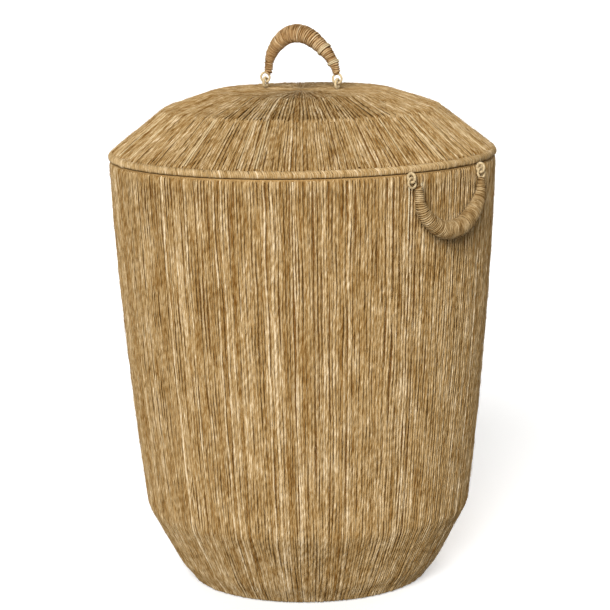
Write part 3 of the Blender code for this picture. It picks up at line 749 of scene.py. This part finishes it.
def make_wrap(name, line, material, seed):
    """One long yarn wound round the handle, turn beside turn."""
    rng = np.random.default_rng(seed)
    fine, size = handle_spine(line, 400)
    place = np.concatenate([[0.0], np.cumsum(np.linalg.norm(np.diff(fine, axis=0), axis=1))])
    share = place / place[-1]
    turns = int(place[-1] / WRAP_PITCH)
    steps = turns * TURN_STEPS
    at = np.linspace(0.0, 1.0, steps)
    centre = np.stack([np.interp(at, share, fine[:, axis]) for axis in (0, 1)], axis=-1)
    ahead = unit(np.gradient(centre, axis=0))
    body = np.interp(at, share, size) - WRAP_YARN
    angle = TAU * np.arange(steps) / TURN_STEPS
    each = np.arange(turns + 1)
    jitter = np.interp(at * turns, each, rng.normal(0.0, 0.00028, turns + 1))
    centre = centre + ahead * jitter[:, None]
    facing = wound_facing(np.stack([-ahead[:, 1], ahead[:, 0]], axis=-1), angle)
    swell = np.interp(at * turns, each, rng.normal(0.0, 0.00014, turns + 1))
    matrix = handle_frame(name)
    world, faces = to_world(matrix, upright(centre) + facing * (body + swell)[:, None], facing)
    width = np.interp(at * turns, each, rng.normal(1.0, 0.09, turns + 1).clip(0.75, 1.25))
    runs = [slice(start, start + TURN_STEPS + 2) for start in range(0, steps - TURN_STEPS - 1, TURN_STEPS)]
    paths, facing, radii = (np.array([values[run] for run in runs])
                            for values in (world, faces, WRAP_YARN * width))
    tones = strand_tones(rng, len(runs), 0.48, 0.05, 0.02, 0.07)
    piece = yarn_piece(f"{name}_yarn", paths, radii, facing, tones)
    finish_piece(piece, material, name, "handle_jute", f"{name}_wrap")
    core_line = upright(fine)
    across = np.broadcast_to(np.array([0.0, 1.0, 0.0]), core_line.shape)
    world, faces = to_world(matrix, core_line, across)
    radius = np.maximum(size - 1.5 * WRAP_YARN, 0.0012)
    piece = yarn_piece(f"{name}_padding", world[None], radius[None], faces[None], np.array([0.05]), 16)
    finish_piece(piece, material, name, "handle_jute")


def cord_ring(matrix, radius, cord):
    """Paths of the plies of a cord bent into a ring about the local Z axis."""
    points = 72
    around = TAU * np.arange(points) / points
    outward = turned(1.0, around, 0.0)
    upward = np.array([0.0, 0.0, 1.0])
    paths, facing = [], []
    for ply in range(CORD_PLIES):
        twist = CORD_TURNS * around + TAU * ply / CORD_PLIES
        face = outward * np.cos(twist)[:, None] + upward * np.sin(twist)[:, None]
        paths.append(outward * radius + face * cord * 0.52)
        facing.append(face)
    return to_world(matrix, np.array(paths), np.array(facing))


def make_loops(materials):
    rng = np.random.default_rng(31)
    quarter_x = Matrix.Rotation(math.pi / 2, 4, "X")
    quarter_y = Matrix.Rotation(math.pi / 2, 4, "Y")
    rings = []
    for end, other, along in (("a", "b", 1), ("b", "a", -1)):
        place = handle_frame("lid_handle") @ Matrix.Translation((along * LID_LOOP_SPAN, 0, 0)) @ quarter_y
        rings.append((f"lid_loop_{end}", "lid", place, LOOP_RADIUS, LOOP_CORD))
        for side, turn, letter in (("right", 0.0, end), ("left", math.pi, other)):
            centre = Vector((SIDE_AXIS.x, along * SIDE_LOOP_SPAN, SIDE_AXIS.z))
            place = Matrix.Rotation(turn, 4, "Z") @ Matrix.Translation(centre) @ quarter_x
            rings.append((f"wall_loop_{side}_{letter}", "basket", place, LOOP_RADIUS, LOOP_CORD))
        for name, span, up in (("lid_handle", LID_LOOP_SPAN, 1), ("side_handle_right", SIDE_LOOP_SPAN, -1),
                               ("side_handle_left", SIDE_LOOP_SPAN, -1)):
            place = handle_frame(name) @ Matrix.Translation((along * span, 0, up * EYE_RADIUS)) @ quarter_x
            rings.append((f"{name}_eye_{end}", name, place, EYE_RADIUS, EYE_CORD))
    for node, body, place, radius, cord in rings:
        paths, facing = cord_ring(place, radius, cord)
        radii = np.full(paths.shape[:2], cord * 0.56)
        tones = rng.normal(0.62, 0.05, len(paths))
        piece = yarn_piece(f"{node}_cord", paths, radii, facing, tones, 8, closed=True)
        finish_piece(piece, materials["pale"], body, "pale_cord", node)


def make_ties(materials):
    """Pale cord tied round the lid handle's leg in two places, two turns in each."""
    rng = np.random.default_rng(32)
    spans, points = 400, 28
    fine = smooth_line(LID_HANDLE_LINE, spans + 1)
    tangent = unit(np.gradient(fine, axis=0))
    around = TAU * np.arange(points) / points
    for number, share in enumerate(LID_TIE_PLACES):
        middle = fine[int(share * spans)]
        ahead = tangent[int(share * spans)]
        face = wound_facing(np.array([-ahead[1], ahead[0]]), around)
        reach = float(handle_radius(share)) + 0.0002
        paths = []
        for turn in range(2):
            offset = (turn - 0.5) * 0.0017 + 0.0004 * np.sin(around + turn)
            paths.append(upright(middle + ahead * offset[:, None]) + face * reach)
        world, faces = to_world(handle_frame("lid_handle"), np.array(paths), np.array([face, face]))
        radii = np.full(world.shape[:2], THIN_CORD)
        tones = rng.normal(0.6, 0.05, len(world))
        tie = f"lid_handle_tie_{number + 1}"
        piece = yarn_piece(f"{tie}_cord", world, radii, faces, tones, 8, closed=True)
        finish_piece(piece, materials["pale"], "lid_handle", "pale_cord", tie)


def make_tail(materials):
    """The loose end of the cord that ties the near loop of the right handle, lying down the wall."""
    rng = np.random.default_rng(33)
    top, bottom, points = 0.489, 0.428, 40
    height = np.linspace(top, bottom, points)
    angle = math.atan2(-SIDE_LOOP_SPAN, SIDE_AXIS.x) + 0.0035
    angle = angle + 0.0022 * np.sin(height * 95) * (top - height) / 0.06
    paths = turned(wall_radius(height) + 0.0010, angle, height)[None]
    facing = turned(1.0, angle, 0.0)[None]
    taper = np.linspace(1.0, 0.5, points)[None]
    radii = THIN_CORD * taper * (1 + wobble(rng, 1, height, 0.12, 0.006, 0.02))
    piece = yarn_piece("wall_loop_tail", paths, radii, facing, np.array([0.85]))
    finish_piece(piece, materials["pale"], "basket", "pale_cord")


def make_frayed_end(materials):
    """The cut end of the right handle's winding, fanned out beside its near eye."""
    rng = np.random.default_rng(34)
    count = 8
    t = np.linspace(0.0, 1.0, 8)[None, :, None]
    root = np.array([-0.0452, -0.0012, -0.0160]) + rng.normal(0.0, 0.0006, (count, 1, 3))
    tip = np.array([-0.0415, -0.0012, -0.0068])
    tip = tip + rng.normal(0.0, 1.0, (count, 1, 3)) * [0.0015, 0.0005, 0.0014]
    paths = root + (tip - root) * t + rng.normal(0.0, 0.0005, (count, 1, 3)) * np.sin(math.pi * t)
    facing = np.broadcast_to(np.array([0.0, -1.0, 0.0]), paths.shape)
    paths, facing = to_world(handle_frame("side_handle_right"), paths, facing)
    radii = 0.00050 * (1 - 0.6 * t[..., 0]) * rng.uniform(0.8, 1.3, (count, 1))
    tones = rng.uniform(0.6, 0.9, count)
    piece = yarn_piece("side_handle_right_frayed_end", paths, radii, facing, tones, 5)
    finish_piece(piece, materials["pale"], "side_handle_right", "pale_cord")


def make_fuzz(materials):
    """Short stray fibres that stand off the wound yarn."""
    rng = np.random.default_rng(41)
    for name, body, count, line in (
            ("wall_fuzz", "basket", 4500, wall_line(0.0, 0.01, 0.49, 200)),
            ("lid_fuzz", "lid", 1800, lid_line(-0.0002, 0.02, 0.222) + [0.0, LID_SEAT])):
        tangent = unit(np.gradient(line, axis=0))
        normal = np.stack([tangent[:, 1], -tangent[:, 0]], axis=-1)
        weight = line[:, 0] / line[:, 0].sum()
        at = rng.choice(len(line), count, p=weight)
        angle = rng.uniform(0.0, TAU, count)
        radial = turned(1.0, angle, 0.0)
        sideways = np.stack([-np.sin(angle), np.cos(angle), np.zeros(count)], axis=-1)
        vertical = np.array([0.0, 0.0, 1.0])
        out = radial * normal[at, :1] + vertical * normal[at, 1:]
        run = radial * tangent[at, :1] + vertical * tangent[at, 1:]
        root = radial * line[at, :1] + vertical * line[at, 1:]
        length = rng.uniform(0.004, 0.015, count)[:, None, None]
        lean = run * rng.choice([-1.0, 1.0], (count, 1))
        lean = unit(lean + sideways * rng.normal(0.0, 0.45, (count, 1)))
        rise = rng.uniform(0.03, 0.20, count)[:, None, None]
        curl = rng.normal(0.0, 0.3, count)[:, None, None]
        t = np.linspace(0.0, 1.0, 6)[None, :, None]
        bend = out[:, None] * rise * np.sin(t * 2.2) + sideways[:, None] * curl * t * t * 0.5
        paths = root[:, None] + length * (lean[:, None] * t + bend)
        radii = FUZZ_RADIUS * (1.0 - 0.7 * t[..., 0]) * rng.uniform(0.7, 1.3, (count, 1))
        paths[..., 2] = np.maximum(paths[..., 2], 0.0004)
        facing = np.broadcast_to(out[:, None], paths.shape)
        piece = yarn_piece(name, paths, radii, facing, rng.uniform(0.45, 0.9, count), 3)
        finish_piece(piece, materials["fuzz"], body, "wound_jute")


# Stage --------------------------------------------------------------------------------------
def make_stage():
    """A white floor that takes shadows but throws no light up on the basket."""
    material, _, shader = new_material("studio_floor", 0.9)
    shader.inputs["Base Color"].default_value = (FLOOR_ALBEDO, FLOOR_ALBEDO, FLOOR_ALBEDO, 1.0)
    shader.inputs["Emission Color"].default_value = (1.0, 1.0, 1.0, 1.0)
    shader.inputs["Emission Strength"].default_value = FLOOR_GLOW
    mesh = bpy.data.meshes.new("studio_floor")
    size = 30.0
    corners = [(-size, -size, 0), (size, -size, 0), (size, size, 0), (-size, size, 0)]
    mesh.from_pydata(corners, [], [(0, 1, 2, 3)])
    floor = bpy.data.objects.new("studio_floor", mesh)
    floor.location.z = -0.0003
    bpy.context.scene.collection.objects.link(floor)
    mesh.materials.append(material)
    floor.visible_diffuse = False


def aim_from(azimuth, elevation):
    """Rotation of a light that shines from this direction; azimuth is counted from the camera."""
    turn = CAMERA_AZIMUTH + math.radians(azimuth)
    rise = math.radians(elevation)
    source = Vector((math.sin(turn) * math.cos(rise), -math.cos(turn) * math.cos(rise), math.sin(rise)))
    return (-source).to_track_quat("-Z", "Y").to_euler()


def make_sun(name, energy, angle, azimuth, elevation):
    data = bpy.data.lights.new(name, "SUN")
    data.energy = energy
    data.angle = angle
    lamp = bpy.data.objects.new(name, data)
    lamp.rotation_euler = aim_from(azimuth, elevation)
    bpy.context.scene.collection.objects.link(lamp)
    return lamp


def make_lights():
    """A broad key from the front left, two soft fills behind, and a room that is pale ahead and behind."""
    make_sun("key", KEY_ENERGY, KEY_ANGLE, KEY_AZIMUTH, KEY_ELEVATION)
    for name, azimuth in FILL_AZIMUTHS:
        fill = make_sun(name, FILL_ENERGY, FILL_ANGLE, azimuth, FILL_ELEVATION)
        fill.visible_glossy = False
    world = bpy.data.worlds.new("studio")
    bpy.context.scene.world = world
    world.use_nodes = True
    tree = world.node_tree
    direction = add_node(tree, "ShaderNodeTexCoord").outputs["Generated"]
    turn = CAMERA_AZIMUTH - ROOM_LEFT
    ahead = (ROOM_GAIN * math.sin(turn), -ROOM_GAIN * math.cos(turn), ROOM_RISE)
    facing = add_node(tree, "ShaderNodeVectorMath", {0: direction, 1: ahead}, operation="DOT_PRODUCT")
    facing = math_node(tree, "ABSOLUTE", facing.outputs["Value"])
    strength = math_node(tree, "ADD", math_node(tree, "POWER", facing, ROOM_POWER), ROOM_LEAST)
    background = tree.nodes["Background"]
    background.inputs["Color"].default_value = ROOM_COLOUR
    tree.links.new(strength, background.inputs["Strength"])
    bpy.context.scene.view_settings.view_transform = "Standard"


def make_camera():
    data = bpy.data.cameras.new("camera")
    data.lens = CAMERA_LENS
    data.sensor_width = 36.0
    camera = bpy.data.objects.new("camera", data)
    flat = Vector((math.sin(CAMERA_AZIMUTH), -math.cos(CAMERA_AZIMUTH), 0.0))
    camera.location = flat * CAMERA_DISTANCE + Vector((0, 0, CAMERA_HEIGHT))
    forward = -flat * math.cos(CAMERA_PITCH) - Vector((0, 0, math.sin(CAMERA_PITCH)))
    level = forward.to_track_quat("-Z", "Y").to_matrix().to_4x4()
    camera.rotation_euler = (level @ Matrix.Rotation(-CAMERA_ROLL, 4, "Z")).to_euler()
    bpy.context.scene.collection.objects.link(camera)
    bpy.context.scene.camera = camera


def finish_wires(material):
    """The steel wires and plate inside keep their CAD shapes."""
    for name, node in frame["nodes"].items():
        if any(word in name for word in ("ring", "hoop", "rib", "cross_wire", "hub")) and "loop" not in name:
            node.data.materials.clear()
            node.data.materials.append(material)


def main():
    make_camera()
    make_lights()
    make_stage()
    materials = {
        "jute": yarn_material("jute_yarn", JUTE),
        "band": yarn_material("rim_yarn", JUTE, contrast=0.6),
        "lid_handle": yarn_material("lid_handle_yarn", LID_HANDLE_JUTE_LIT, contrast=0.9),
        "side_handle": yarn_material("side_handle_yarn", SIDE_HANDLE_JUTE, contrast=0.9),
        "pale": yarn_material("pale_cord", PALE, contrast=0.6, twist=0.004),
        "smooth": yarn_material("smooth_pale_yarn", PALE, contrast=0.5, bump=0.3),
        "fuzz": yarn_material("stray_fibre", JUTE, contrast=0.3, bump=0.0),
        # The backing's colours, darker than the darkest yarn, are painted shade for the gaps between
        # strands.
        "backing": backing_material("shaded_jute", (0.080, 0.032, 0.005), (0.240, 0.120, 0.032)),
        "padding": backing_material("packed_jute", (0.240, 0.130, 0.040), (0.420, 0.270, 0.110)),
    }
    make_wall(materials)
    make_base(materials)
    make_lid_top(materials)
    make_lid_bands(materials)
    make_lid_under(materials)
    make_rib_strips(materials)
    make_wrap("lid_handle", LID_HANDLE_LINE, materials["lid_handle"], 51)
    make_wrap("side_handle_right", SIDE_HANDLE_LINE, materials["side_handle"], 52)
    make_wrap("side_handle_left", SIDE_HANDLE_LINE, materials["side_handle"], 53)
    make_loops(materials)
    make_ties(materials)
    make_tail(materials)
    make_frayed_end(materials)
    make_fuzz(materials)
    finish_wires(wire_material())
    # The cores hidden inside the wraps take the backing's painted-shade colours.
    for name in ("lid_handle_core", "side_handle_right_core", "side_handle_left_core"):
        core = frame["nodes"][name]
        core.data.materials.clear()
        core.data.materials.append(materials["backing"])


main()
